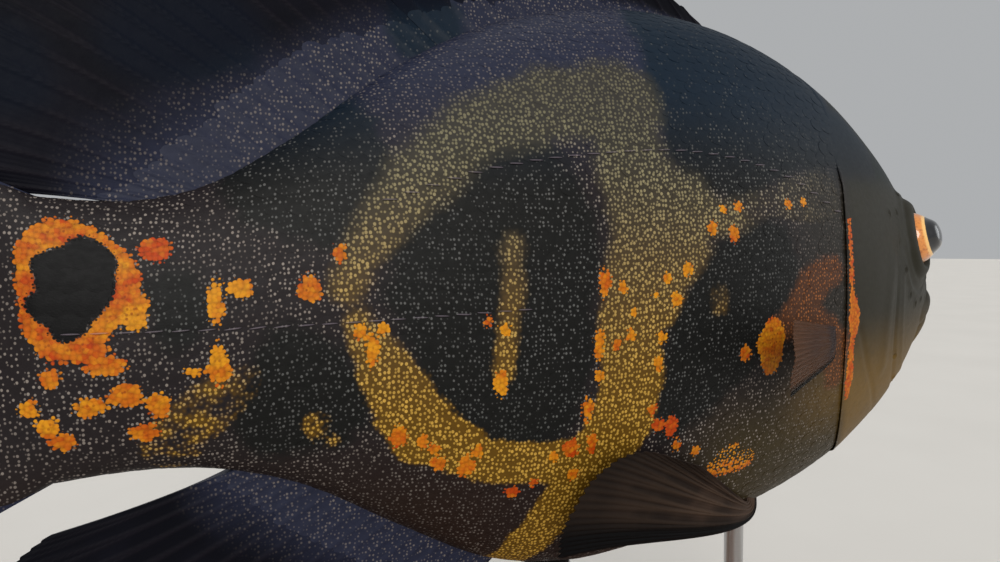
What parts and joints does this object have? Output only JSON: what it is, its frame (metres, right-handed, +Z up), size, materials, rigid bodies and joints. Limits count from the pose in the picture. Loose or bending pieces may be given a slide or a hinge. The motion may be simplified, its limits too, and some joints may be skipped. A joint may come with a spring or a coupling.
{
  "type": "oscar fish museum model",
  "caption": "Life-size oscar fish, still museum model with raised fin rays, held level by slim rods on a flat wooden base.",
  "frame": {"origin": "middle of the whole model's footprint, on the underside of the base", "axes": "+X towards the snout, -Y out of the fish's right flank, +Z up"},
  "size_m": [0.3014, 0.112, 0.2232],
  "materials": {
    "flank_skin": "satin, scaled, near black with gold bars and orange spots",
    "head_skin": "satin, smooth, grey-brown to olive",
    "dark_fin": "satin, rayed, near black",
    "pale_fin": "satin, rayed, smoky grey",
    "eye": "clear glass over an orange-gold iris and a black pupil",
    "walnut": "oiled satin",
    "satin_steel": "satin"
  },
  "bodies": {
    "root": {"head": "head_skin", "torso": "flank_skin", "tail_stalk": "flank_skin", "eye_r": "eye", "eye_l": "eye", "dorsal_fin_spiny": "dark_fin", "dorsal_fin_soft": "dark_fin", "anal_fin": "dark_fin", "tail_fin": "dark_fin", "pelvic_fin_r": "dark_fin", "pelvic_fin_l": "dark_fin", "pectoral_fin_r": "pale_fin", "pectoral_fin_l": "pale_fin", "stand_base": "walnut", "stand_rod_front": "satin_steel", "stand_rod_rear": "satin_steel"}
  },
  "joints": []
}
